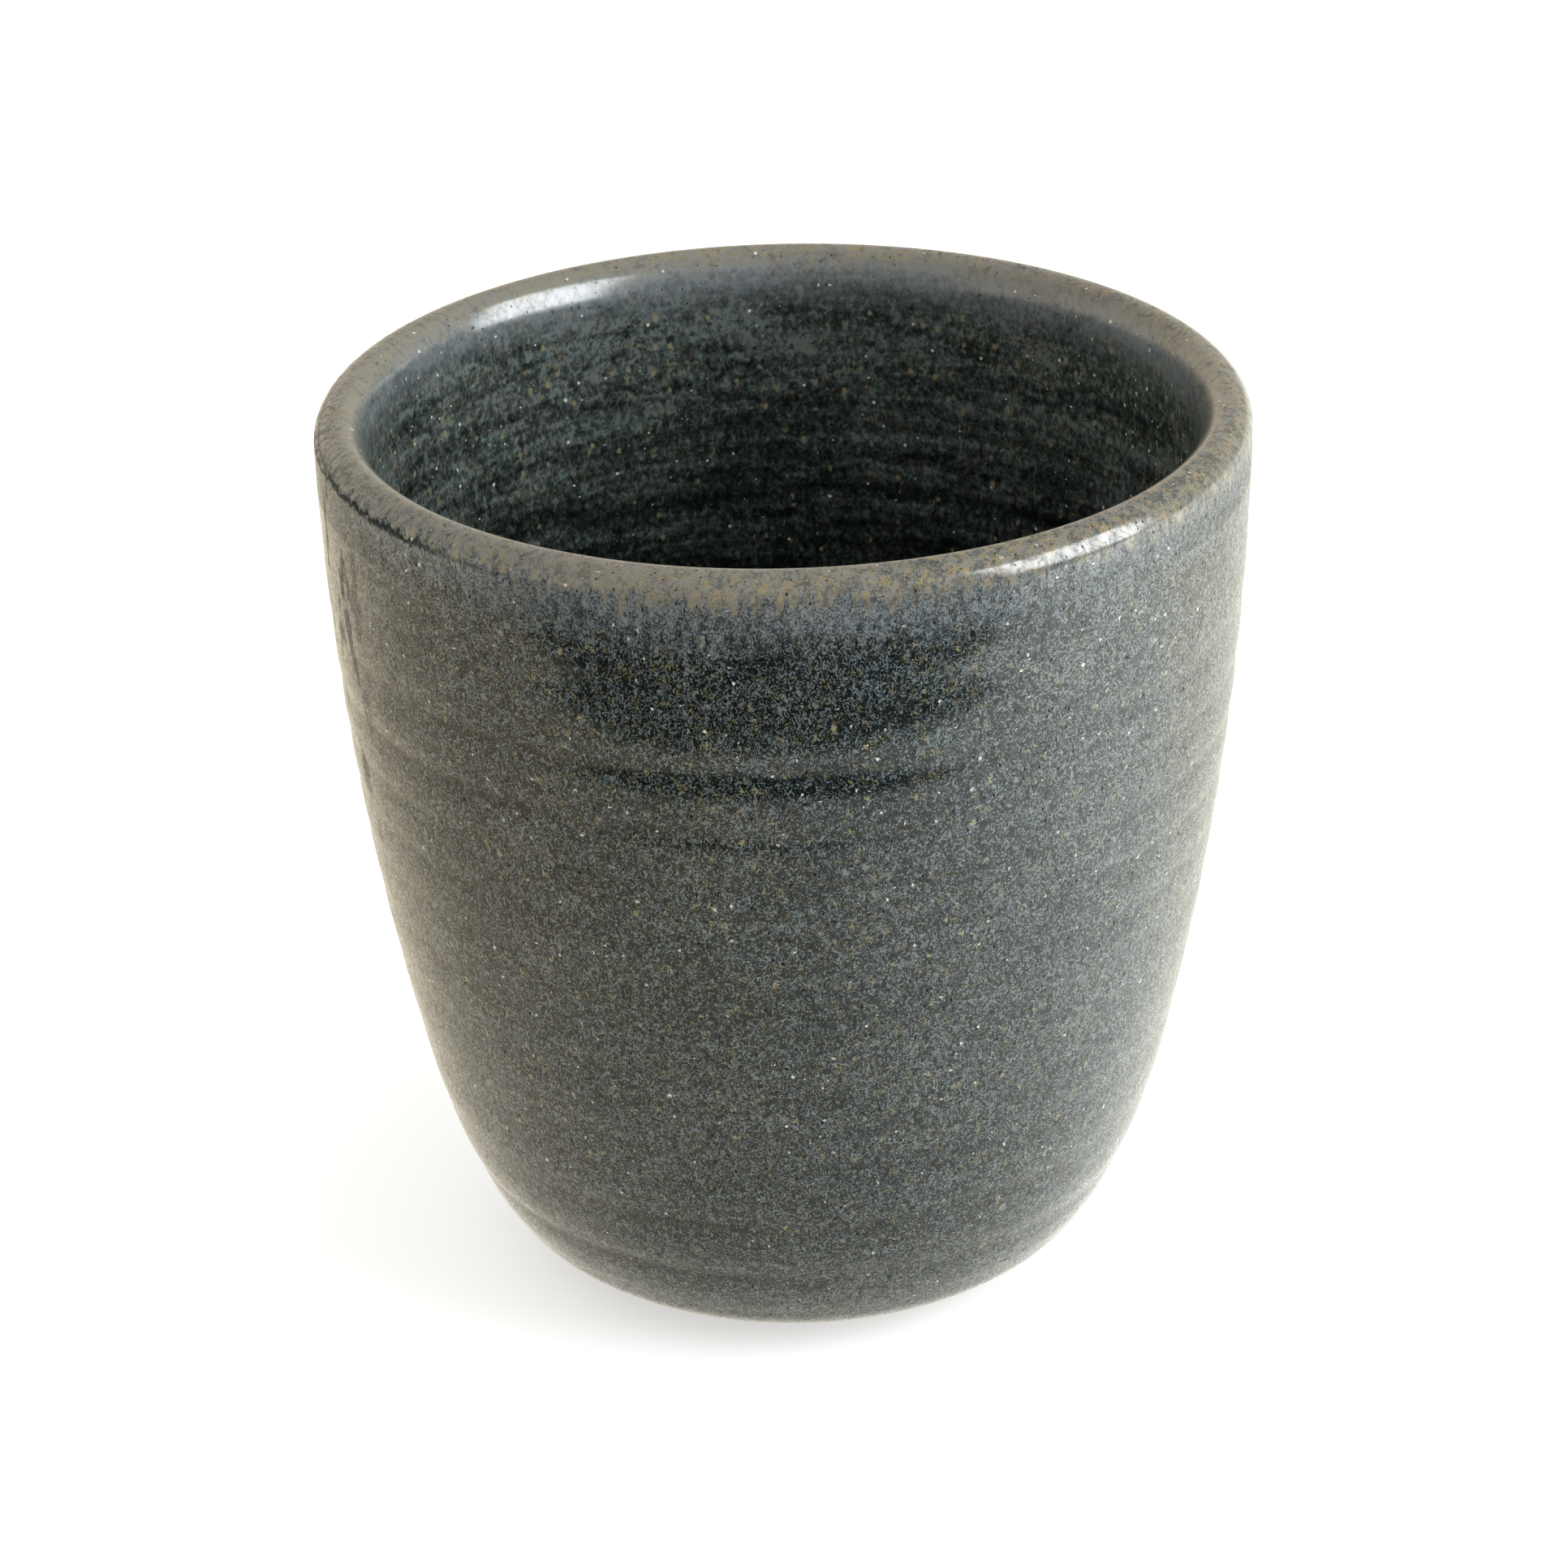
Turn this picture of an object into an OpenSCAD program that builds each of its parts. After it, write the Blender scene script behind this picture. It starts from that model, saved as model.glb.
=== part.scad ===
// Yunomi: a handleless stoneware tea cup, thrown on the wheel, trimmed to a low foot ring and glazed
// inside and out. Every piece is one closed outline turned about Z. The outside is three arcs that
// run into each other: a long upright side, a belly and a tight heel. The inside follows the same
// side and belly, then sweeps to the floor. The glaze lies on the clay at one depth, so both are
// drawn from the same arcs, and the free faces of the glaze carry the throwing rings.
// Z is up, and the origin is on the table at the middle of the foot. Sizes include the glaze.

/* [Cup] */
// Height from the table to the top of the lip
cup_h = 81; // [70:1:95]
// Outside diameter at the lip
rim_d = 80; // [72:1:95]
// Thickness of the wall, and of the lip, which is rounded over from both faces
wall_t = 4.4; // [3.4:0.1:5.6]
// Height of the lip's rounding inside, which is softer than the quarter round outside
lip_drop = 3.8; // [2.8:0.1:5]
// Thickness of the floor over the recess of the foot
floor_t = 5; // [4:0.1:6.5]

/* [Curve of the wall] */
// Radius of the belly
belly_r = 55; // [48:1:62]
// Radius of the heel, where the belly turns under
heel_r = 10.2; // [8.5:0.1:12.5]
// Lean of the wall where the side runs into the belly
side_lean = 12.8; // [11:0.1:14.5]
// Lean of the wall where the belly runs into the heel
belly_lean = 27.7; // [24:0.1:31]
// Lean of the wall inside, where the belly runs into the sweep to the floor
sweep_lean = 20; // [17:0.5:23]

/* [Foot] */
// Outside diameter of the foot ring
foot_d = 38; // [32:1:42]
// Width of the foot ring
foot_w = 4.6; // [3:0.1:7]
// Height of the glazed heel's underside above the table
foot_h = 1.3; // [0.8:0.1:2.5]
// Height of the recess inside the foot ring
recess_h = 3; // [2:0.1:4]
// Rounding of the foot ring's edges
foot_round = 0.8; // [0.4:0.1:1.2]
// Rounding at the top of the recess
recess_round = 1.4; // [0.6:0.1:1.8]

/* [Glaze] */
// Thickness of the glaze
glaze_t = 0.5; // [0.4:0.05:0.8]
// Run of the lip's field below the shoulder, outside
lip_out = 3.6; // [2:0.1:6]
// Run of the lip's field below its rounding, inside
lip_in = 1.2; // [0.5:0.1:5]
// Width of the bare clay between the glaze and the foot
bare_w = 3; // [2:0.1:4]

/* [Throwing rings] */
// Rings on the outside, from the lip's field to the foot
outer_rings = 13; // [8:1:20]
// Rings on the inside, from the lip's field to the middle of the floor
liner_rings = 15; // [8:1:20]
// Depth of a ring
ring_depth = 0.12; // [0.05:0.01:0.3]

/* [Hidden] */

// Steps of the outlines: along one ring, along one arc of the wall, over half the lip and round an edge
ring_steps = 9;
arc_steps = 8;
round_steps = 7;
edge_steps = 6;
// How far the rings stray from even spacing, as a share of their run, and in how many waves
stray_share = 0.03;
stray_waves = 1.5;
// Degrees in a turn of one radius along an arc
radian = 180 / PI;
$fn = 96;

// Heights and radii of the outside, worked up from the foot
rim_r = rim_d / 2;
lip_r = wall_t / 2;
foot_r = foot_d / 2;
shoulder_z = cup_h - lip_r;
heel_z = foot_h + heel_r * (1 - sin(belly_lean));
belly_z = heel_z + belly_r * (sin(belly_lean) - sin(side_lean));
side_r = (shoulder_z - belly_z) / sin(side_lean);

// Centres of the arcs, as radius and height
side_c = [rim_r - side_r, shoulder_z];
belly_c = side_c + (side_r - belly_r) * [cos(side_lean), -sin(side_lean)];
heel_c = belly_c + (belly_r - heel_r) * [cos(belly_lean), -sin(belly_lean)];

// The sweep inside, which leaves the belly at its own lean and meets the floor level
floor_z = recess_h + floor_t;
sweep_start = belly_c[1] - (belly_r - wall_t) * sin(sweep_lean);
sweep_r = (sweep_start - floor_z) / (1 - sin(sweep_lean));
sweep_c = belly_c + (belly_r - wall_t - sweep_r) * [cos(sweep_lean), -sin(sweep_lean)];

// Runs down the outside from the shoulder to the end of the side and of the belly
side_run = side_r * side_lean / radian;
belly_run = side_run + belly_r * (belly_lean - side_lean) / radian;

// Runs down the inside from the shoulder's height to the end of the lip's rounding and of its field, to
// the end of each arc and to the middle of the floor
round_in = (side_r - wall_t) * asin((lip_drop - lip_r) / (side_r - wall_t)) / radian;
field_in = round_in + lip_in;
side_in = (side_r - wall_t) * side_lean / radian;
belly_in = side_in + (belly_r - wall_t) * (sweep_lean - side_lean) / radian;
sweep_in = belly_in + sweep_r * (90 - sweep_lean) / radian;
floor_in = sweep_in + sweep_c[0];

// Radius at the top of the lip, and width of its rounding inside
crown_r = rim_r - lip_r;
lip_wide = crown_r - inside_at(round_in, 0)[0];

// The glaze stops clear of the foot ring or of the heel's underside, whichever is wider, and its
// edge rolls down to the clay over one thickness
stop_lean = acos((max(foot_r, heel_c[0]) + bare_w - heel_c[0]) / heel_r);
stop_run = belly_run + heel_r * (stop_lean - belly_lean) / radian;
roll_run = stop_run + glaze_t;

// The bare heel runs on to the foot ring, or to its own underside where that is wider
foot_in = foot_r - foot_w;
foot_lean = acos(max(foot_r - heel_c[0], 0) / (heel_r - glaze_t));
foot_run = belly_run + heel_r * (foot_lean - belly_lean) / radian;
foot_top = heel_c[1] - (heel_r - glaze_t) * sin(foot_lean);

// Direction out of a wall that leans in by an angle
function out_of(lean) = [cos(lean), -sin(lean)];

// Point at a run down the outside, sunk to a depth under the finished face
function outside_at(run, depth) =
    run < side_run ? side_c + (side_r - depth) * out_of(run / side_r * radian)
    : run < belly_run ? belly_c
        + (belly_r - depth) * out_of(side_lean + (run - side_run) / belly_r * radian)
    : heel_c + (heel_r - depth) * out_of(belly_lean + (run - belly_run) / heel_r * radian);

// Point at a run down the inside, sunk to a depth behind the finished face
function inside_at(run, depth) =
    run < side_in ? side_c + (side_r - wall_t + depth) * out_of(run / (side_r - wall_t) * radian)
    : run < belly_in ? belly_c
        + (belly_r - wall_t + depth) * out_of(side_lean + (run - side_in) / (belly_r - wall_t) * radian)
    : run < sweep_in ? sweep_c
        + (sweep_r + depth) * out_of(sweep_lean + (run - belly_in) / sweep_r * radian)
    : [max(floor_in - run, 0), floor_z - depth];

// Point on the lip: 0 degrees is the outer shoulder, 90 the top and 180 the inner shoulder. It is a
// quarter round outside and a quarter ellipse inside
function lip_at(angle, depth) =
    angle < 90 ? [crown_r, shoulder_z] + (lip_r - depth) * [cos(angle), sin(angle)]
    : [crown_r + (lip_wide - depth) * cos(angle), cup_h - lip_drop + (lip_drop - depth) * sin(angle)];

// Quarter round from one angle to another
function round_off(centre, radius, from, to) =
    [for (i = [0:edge_steps]) let (a = from + (to - from) * i / edge_steps)
        centre + radius * [cos(a), sin(a)]];

// Depth of the throwing rings at a share of their run: narrow grooves between broad ridges, unevenly
// spaced, with nothing at both ends
function ring_at(share, rings) =
    let (strayed = share - stray_share * sin(360 * stray_waves * share))
    ring_depth * pow((1 - cos(360 * rings * strayed)) / 2, 2);

// Even steps from each value of a list to the next
function stations(marks, steps) = concat(
    [for (i = [0:len(marks) - 2]) for (k = [0:steps - 1]) marks[i] + (marks[i + 1] - marks[i]) * k / steps],
    [marks[len(marks) - 1]]
);

// A list the other way round
function turned(list) = [for (i = [len(list) - 1:-1:0]) list[i]];

// Free faces of the glaze
function outer_face() =
    let (steps = outer_rings * ring_steps, span = stop_run - lip_out)
    [for (i = [0:steps]) outside_at(lip_out + span * i / steps, ring_at(i / steps, outer_rings))];
function liner_face() =
    let (steps = liner_rings * ring_steps, span = floor_in - field_in)
    [for (i = [0:steps]) inside_at(field_in + span * i / steps, ring_at(i / steps, liner_rings))];

// Rolled edge where the outer glaze stops, a quarter round carried along the heel
function rolled_edge() =
    [for (i = [1:edge_steps - 1]) let (a = 90 * i / edge_steps)
        outside_at(stop_run + (roll_run - stop_run) * sin(a), glaze_t * (1 - cos(a)))];

// Faces that clay and glaze share, listed from the lip down
function outer_bed() =
    [for (run = stations([lip_out, side_run, belly_run, roll_run], arc_steps)) outside_at(run, glaze_t)];
function liner_bed() = concat(
    [for (run = stations([field_in, side_in, belly_in, sweep_in], arc_steps)) inside_at(run, glaze_t)],
    [inside_at(floor_in, glaze_t)]
);

// Rounding of the lip from the outer shoulder over the top to the inner one, at a depth
function lip_crown(depth) = [for (a = stations([0, 90, 180], round_steps)) lip_at(a, depth)];

// The lip's field from its outer edge over the top to its inner edge, at a depth
function lip_line(depth) = concat(
    [outside_at(lip_out, depth)],
    lip_crown(depth),
    [inside_at(field_in, depth)]
);

// Bare clay from the rolled edge of the glaze round the heel to the foot ring
function bare_heel() = concat(
    [for (i = [1:edge_steps]) outside_at(roll_run + (foot_run - roll_run) * i / edge_steps, glaze_t)],
    foot_r < heel_c[0] ? [[foot_r, foot_top]] : []
);

// Foot ring, from its outer edge across the table to the recess turned out of its middle
function foot_line() = concat(
    round_off([foot_r - foot_round, foot_round], foot_round, 0, -90),
    round_off([foot_in + foot_round, foot_round], foot_round, 270, 180),
    round_off([foot_in - recess_round, recess_h - recess_round], recess_round, 0, 90),
    [[0, recess_h]]
);

// Thrown and trimmed stoneware: wall, floor and foot ring
module clay_body() {
    color("#8d7763")
        rotate_extrude()
            polygon(concat(
                outer_bed(),
                bare_heel(),
                foot_line(),
                turned(liner_bed()),
                turned(lip_crown(glaze_t))
            ));
}

// Grey glaze on the outside, from the lip's field to the rolled edge above the foot
module outer_glaze() {
    color("#6b6f69")
        rotate_extrude()
            polygon(concat(outer_face(), rolled_edge(), turned(outer_bed())));
}

// Brown field over the lip, where the coats from outside and inside meet and run thin
module lip_glaze() {
    color("#867c68")
        rotate_extrude()
            polygon(concat(lip_line(0), turned(lip_line(glaze_t))));
}

// Dark glaze on the inside, from the lip's field to the middle of the floor
module liner_glaze() {
    color("#3b403b")
        rotate_extrude()
            polygon(concat(liner_face(), turned(liner_bed())));
}

clay_body();
outer_glaze();
lip_glaze();
liner_glaze();
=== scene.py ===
"""Looks of a handleless stoneware tea cup: bare clay foot, mottled grey glaze, brown lip and dark liner.

Every piece of the cup is worked out again from its section, as a finer turned surface whose throwing
rings wander as a hand leaves them, and stands for the solid of the same name. Lengths are in metres,
and those of the materials' patterns in millimetres.
"""

import math
from typing import NamedTuple

import bpy
import numpy as np
from bpy.props import FloatProperty, FloatVectorProperty, IntProperty, PointerProperty
from bpy.types import Operator, Panel, PropertyGroup
from mathutils import Color, Matrix, Vector


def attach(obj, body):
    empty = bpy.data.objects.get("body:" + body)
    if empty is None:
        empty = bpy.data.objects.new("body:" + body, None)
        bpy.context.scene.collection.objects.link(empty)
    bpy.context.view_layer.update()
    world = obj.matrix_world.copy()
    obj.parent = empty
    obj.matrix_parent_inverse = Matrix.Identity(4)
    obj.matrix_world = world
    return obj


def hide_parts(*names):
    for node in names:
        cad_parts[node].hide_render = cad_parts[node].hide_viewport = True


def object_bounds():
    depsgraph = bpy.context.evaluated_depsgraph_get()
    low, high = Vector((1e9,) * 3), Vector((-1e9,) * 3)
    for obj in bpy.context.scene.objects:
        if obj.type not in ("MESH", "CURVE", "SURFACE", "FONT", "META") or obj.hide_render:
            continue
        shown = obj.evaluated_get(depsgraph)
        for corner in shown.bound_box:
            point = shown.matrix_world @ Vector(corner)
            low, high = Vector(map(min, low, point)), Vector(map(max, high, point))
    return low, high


bl_info = {
    "name": "Stoneware Tea Cup",
    "version": (1, 0, 0),
    "blender": (4, 5, 0),
    "location": "View3D > Sidebar > Tea Cup",
    "description": "Dresses a wheel-thrown tea cup with its glazes and bare clay, and sets a stage for it",
    "category": "Add Mesh",
}

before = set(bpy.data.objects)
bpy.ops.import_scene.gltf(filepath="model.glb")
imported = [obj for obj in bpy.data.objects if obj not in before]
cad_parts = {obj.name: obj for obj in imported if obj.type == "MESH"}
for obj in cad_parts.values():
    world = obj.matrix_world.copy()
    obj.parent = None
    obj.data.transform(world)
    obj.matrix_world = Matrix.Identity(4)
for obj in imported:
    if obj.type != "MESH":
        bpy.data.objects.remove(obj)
CAD_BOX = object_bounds()

MM = 0.001
TURN = 2 * math.pi
QUARTER = math.pi / 2
BYTE = 255
MIDDLE = 0.5
WHITE = (1, 1, 1)


def linear(code):
    """Linear colour of a screen colour written as #rrggbb."""
    screen = Color([part / BYTE for part in bytes.fromhex(code[1:])])
    return tuple(screen.from_srgb_to_scene_linear())


def length(name, description, default):
    """Property for a length, given in millimetres and held in metres."""
    return FloatProperty(name=name, description=description, default=default * MM, unit="LENGTH",
                         precision=5)


def angle(name, description, default):
    """Property for an angle, given in degrees and held in radians."""
    return FloatProperty(name=name, description=description, default=math.radians(default), subtype="ANGLE")


def number(name, description, default):
    """Property for a plain number."""
    return FloatProperty(name=name, description=description, default=default, precision=4)


def count(name, description, default):
    """Property for a count."""
    return IntProperty(name=name, description=description, default=default, min=1)


def colour(name, description, default):
    """Property for a colour, given as a screen colour and held as a linear one."""
    return FloatVectorProperty(name=name, description=description, default=linear(default), subtype="COLOR",
                               size=3, min=0, max=1)


class CupSizes(PropertyGroup):
    """Sizes of the cup's section, the glaze included."""

    rim_r: length("Rim radius", "Outside radius at the lip", CAD_BOX[1].x / MM)
    cup_h: length("Height", "Height from the table to the top of the lip", CAD_BOX[1].z / MM)
    wall: length("Wall", "Thickness of the wall and of its rounded lip", 4.4)
    lip_drop: length("Lip drop", "Height of the lip's rounding inside", 3.8)
    floor: length("Floor", "Thickness of the floor over the recess of the foot", 5)
    belly_r: length("Belly radius", "Radius of the belly", 55)
    heel_r: length("Heel radius", "Radius of the heel, where the belly turns under", 10.2)
    side_lean: angle("Side lean", "Lean of the wall where the side runs into the belly", 12.8)
    belly_lean: angle("Belly lean", "Lean of the wall where the belly runs into the heel", 27.7)
    sweep_lean: angle("Sweep lean", "Lean of the wall inside, where the belly runs into the sweep", 20)
    foot_r: length("Foot radius", "Outside radius of the foot ring", 19)
    foot_w: length("Foot width", "Width of the foot ring", 4.6)
    foot_h: length("Foot height", "Height of the glazed heel's underside above the table", 1.3)
    recess_h: length("Recess height", "Height of the recess inside the foot ring", 3)
    foot_round: length("Foot rounding", "Rounding of the foot ring's edges", 0.8)
    recess_round: length("Recess rounding", "Rounding at the top of the recess", 1.4)
    glaze: length("Glaze", "Thickness of the glaze", 0.5)
    lip_out: length("Lip outside", "Run of the lip's field below the shoulder, outside", 3.6)
    lip_in: length("Lip inside", "Run of the lip's field below its rounding, inside", 1.2)
    bare: length("Bare clay", "Width of the bare clay between the glaze and the foot", 3)


class CupMarks(PropertyGroup):
    """Marks that the maker's hand and tools leave."""

    outer_rings: count("Outer rings", "Throwing rings on the outside", 13)
    liner_rings: count("Liner rings", "Throwing rings on the inside", 15)
    ring_depth: length("Ring depth", "Depth of a throwing ring", 0.12)
    stray: number("Stray", "How far the rings stray from even spacing, as a share of their run", 0.03)
    stray_waves: number("Stray waves", "Waves of that straying along the run", 1.5)
    wander: number("Wander", "How far a ring climbs and falls round the cup, as a share of the run", 0.004)
    bold: number("Bold", "Share of the run at which the rings are boldest", 0.24)
    bold_step: number("Bold step", "Share of the run from one bold group of rings to the next", 0.61)
    bold_swing: number("Bold swing", "How far the rings' depth swells and sinks along the run", 0.35)
    fading: number("Fading", "How far a ring's depth waxes and wanes round the cup", 0.3)
    edge_wave: length("Glaze edge", "How far the glaze's lower edge wanders", 0.25)
    trim_step: length("Trim step", "Spacing of the trimming lines on the bare clay", 0.55)
    trim_depth: length("Trim depth", "Depth of the trimming lines on the bare clay", 0.035)


class CupColours(PropertyGroup):
    """Colours of the glazes and of the clay."""

    ground: colour("Ground", "Glassy ground between the crystals", "#050d0c")
    ground_warm: colour("Warm ground", "Ground where iron gathers", "#0b120f")
    crystal: colour("Crystals", "Curly crystals in the glaze", "#5e6a6c")
    crystal_warm: colour("Warm crystals", "Crystals where iron gathers", "#636866")
    ochre: colour("Ochre", "Clusters of ochre crystals", "#6d6849")
    dots: colour("Ochre dots", "Single ochre dots", "#8a8261")
    speck: colour("Specks", "White grains in the glaze", "#d6d4c8")
    pit: colour("Pits", "Small pits in the glaze", "#0a0c0c")
    lip: colour("Lip", "Thin glaze over the lip", "#605c52")
    lip_light: colour("Light lip", "Crystals in the thin glaze over the lip", "#7a7669")
    lip_ochre: colour("Lip ochre", "Ochre flecks over the lip", "#8e7b52")
    lip_stroke: colour("Lip strokes", "Dark strokes in the thin glaze over the lip", "#3a423d")
    lip_pale: colour("Pale lip", "Pale glaze just below the lip", "#757b7e")
    liner_ground: colour("Liner ground", "Glassy ground inside", "#0c110f")
    liner_crystal: colour("Liner crystals", "Crystals inside", "#5f6d67")
    clay: colour("Clay", "Bare stoneware", "#a38b70")
    clay_toast: colour("Toasted clay", "Stoneware toasted beside the glaze", "#7b5437")
    grog: colour("Grog", "Dark grains in the clay", "#54402f")


class StageLook(PropertyGroup):
    """Camera, light and floor. What is mirrored is only seen in the gloss of the glaze."""

    lens: number("Lens", "Focal length of the camera, in millimetres on a sensor 36 mm wide", 98.66)
    distance: length("Distance", "Distance of the camera from the point it is aimed at", 383.29)
    elevation: angle("Elevation", "Height of the camera above the horizon", 26.429)
    roll: angle("Roll", "Tilt of the camera about its own axis", -1.422)
    aim_x: length("Aim across", "How far right of the cup's axis the camera is aimed", -0.68)
    aim_z: length("Aim height", "Height at which the camera is aimed", 43.683)
    floor: colour("Floor", "Pale floor", "#e6e6e4")
    floor_left: colour("Floor left", "Tone of the mirrored floor left of the cup", "#fff2d6")
    floor_right: colour("Floor right", "Tone of the mirrored floor right of the cup", "#f4faf6")
    floor_lift: number("Floor lift", "How much the floor is lifted towards white for the camera", 0.5)
    floor_side: length("Floor side", "Side of the floor", 3000)
    zenith: colour("Ceiling", "Light from straight above", "#b9bbbd")
    horizon_left: colour("Left walls", "Light from level, left of the cup and behind it", "#fff2dc")
    horizon_right: colour("Right walls", "Light from level, right of the cup and behind it", "#cfccc2")
    front: colour("Front", "Light from the camera's side of the room", "#b6b6b4")
    front_mirror: colour("Mirrored front", "The camera's side of the mirrored room", "#8a8b8a")
    room: number("Room", "Brightness of the room's walls and ceiling", 1.6)
    room_mirror: number("Mirrored room", "Brightness of the mirrored room", 0.84)
    key_azimuth: angle("Key azimuth", "Where the key light stands, right of the camera", 72)
    key_elevation: angle("Key elevation", "Height of the key light above the horizon", 21)
    key_distance: length("Key distance", "Distance of the key light", 900)
    key_wide: length("Key width", "Width of the key light", 660)
    key_tall: length("Key height", "Height of the key light", 640)
    key_radiance: number("Key radiance", "Brightness of the key light's face", 7.1)
    key_colour: colour("Key colour", "Colour of the key light", "#f6fbff")
    mirror_dark: number("Mirrored dark", "Brightness of the mirrored floor past its front edge", 0.04)
    mirror_light: number("Mirrored light", "Brightness of the rest of the mirrored floor", 1.11)
    mirror_key: number("Mirrored key", "Share by which it brightens towards the key light, per metre", 15.5)
    mirror_reach: length("Mirrored reach", "How far out it brightens towards the key light", 140)
    mirror_front: length("Front edge", "Where the mirrored floor is darkest, in front of the cup", -146)
    mirror_back: length("Back of edge", "Where it is brightest, behind that", -133)
    mirror_tilt: number("Edge tilt", "How far that edge comes forward to the right, per metre", 0.08)
    mirror_bend: number("Edge bend", "How far it turns back on both sides, per metre", 0.18)
    mirror_left: length("Left edge", "Where the bright mirrored floor ends, left of the cup", -300)
    mirror_soft: length("Left softness", "How far it fades on both sides of that", 30)


class ArcChain:
    """Arcs in the cup's section that run into each other, measured by the run along their finished face."""

    def __init__(self, *arcs):
        """Takes each arc as its first run, its centre, its radius and the lean where it starts."""
        self.starts = np.array([arc[0] for arc in arcs])
        self.centres = np.array([arc[1] for arc in arcs])
        self.radii = np.array([arc[2] for arc in arcs])
        self.leans = np.array([arc[3] for arc in arcs])

    def at(self, run, depth):
        """Radius and height at a run, sunk by a depth: from the centre of the arc that holds the run, its
        radius less the depth along the way out of the wall, whose lean grows by run over radius."""
        arc = np.clip(np.searchsorted(self.starts, run, side="right") - 1, 0, None)
        lean = self.leans[arc] + (run - self.starts[arc]) / self.radii[arc]
        reach = self.radii[arc] - depth
        return self.centres[arc, 0] + reach * np.cos(lean), self.centres[arc, 1] - reach * np.sin(lean)


class Section:
    """The cup's section: three arcs outside, three and a level floor inside, a round lip and a foot ring."""

    def __init__(self, sizes):
        """Works out the arcs from the sizes. Neighbours share the lean where they meet, so each centre lies
        on the line from its neighbour's centre through that point."""
        self.sizes = sizes
        self.lip_r = sizes.wall / 2
        self.crown_r = sizes.rim_r - self.lip_r
        self.shoulder_z = sizes.cup_h - self.lip_r
        heel_z = sizes.foot_h + sizes.heel_r * (1 - math.sin(sizes.belly_lean))
        belly_z = heel_z + sizes.belly_r * (math.sin(sizes.belly_lean) - math.sin(sizes.side_lean))
        side_r = (self.shoulder_z - belly_z) / math.sin(sizes.side_lean)
        side_c = np.array([sizes.rim_r - side_r, self.shoulder_z])
        belly_c = side_c + (side_r - sizes.belly_r) * self.out_of(sizes.side_lean)
        heel_c = belly_c + (sizes.belly_r - sizes.heel_r) * self.out_of(sizes.belly_lean)
        side_run = side_r * sizes.side_lean
        belly_run = side_run + sizes.belly_r * (sizes.belly_lean - sizes.side_lean)
        self.outside = ArcChain(
            (0, side_c, side_r, 0),
            (side_run, belly_c, sizes.belly_r, sizes.side_lean),
            (belly_run, heel_c, sizes.heel_r, sizes.belly_lean),
        )
        side_in_r = side_r - sizes.wall
        belly_in_r = sizes.belly_r - sizes.wall
        self.floor_z = sizes.recess_h + sizes.floor
        sweep_start = belly_c[1] - belly_in_r * math.sin(sizes.sweep_lean)
        sweep_r = (sweep_start - self.floor_z) / (1 - math.sin(sizes.sweep_lean))
        sweep_c = belly_c + (belly_in_r - sweep_r) * self.out_of(sizes.sweep_lean)
        round_lean = math.asin((sizes.lip_drop - self.lip_r) / side_in_r)
        self.lip_wide = self.crown_r - side_c[0] - side_in_r * math.cos(round_lean)
        self.round_in = side_in_r * round_lean
        self.field_in = self.round_in + sizes.lip_in
        side_in = side_in_r * sizes.side_lean
        belly_in = side_in + belly_in_r * (sizes.sweep_lean - sizes.side_lean)
        self.inside = ArcChain(
            (0, side_c, side_in_r, 0),
            (side_in, belly_c, belly_in_r, sizes.side_lean),
            (belly_in, sweep_c, sweep_r, sizes.sweep_lean),
        )
        self.sweep_in = belly_in + sweep_r * (QUARTER - sizes.sweep_lean)
        self.floor_in = self.sweep_in + sweep_c[0]
        stop_lean = math.acos((max(sizes.foot_r, heel_c[0]) + sizes.bare - heel_c[0]) / sizes.heel_r)
        self.stop_run = belly_run + sizes.heel_r * (stop_lean - sizes.belly_lean)
        foot_lean = math.acos(max(sizes.foot_r - heel_c[0], 0) / (sizes.heel_r - sizes.glaze))
        self.foot_run = belly_run + sizes.heel_r * (foot_lean - sizes.belly_lean)

    @staticmethod
    def out_of(lean):
        """Way out of a wall that leans in by an angle: its cosine outwards and its sine down."""
        return np.array([math.cos(lean), -math.sin(lean)])

    def outside_at(self, run, depth):
        """Point at a run down the outside, sunk to a depth under the finished face."""
        return self.outside.at(run, depth)

    def inside_at(self, run, depth):
        """Point at a run down the inside, sunk to a depth behind the finished face. Past the sweep it lies
        on the level floor, as far from the axis as there is run left."""
        wall_r, wall_z = self.inside.at(run, -depth)
        level = run > self.sweep_in
        left = np.maximum(self.floor_in - run, 0)
        return np.where(level, left, wall_r), np.where(level, self.floor_z - depth, wall_z)

    def lip_at(self, turn, depth):
        """Point on the lip: no turn is the outer shoulder, a quarter the top and a half the inner shoulder.
        It is a quarter round outside and a quarter ellipse inside."""
        outer = turn < QUARTER
        wide = np.where(outer, self.lip_r, self.lip_wide) - depth
        tall = np.where(outer, self.lip_r, self.sizes.lip_drop) - depth
        base = np.where(outer, self.shoulder_z, self.sizes.cup_h - self.sizes.lip_drop)
        return self.crown_r + wide * np.cos(turn), base + tall * np.sin(turn)


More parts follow.
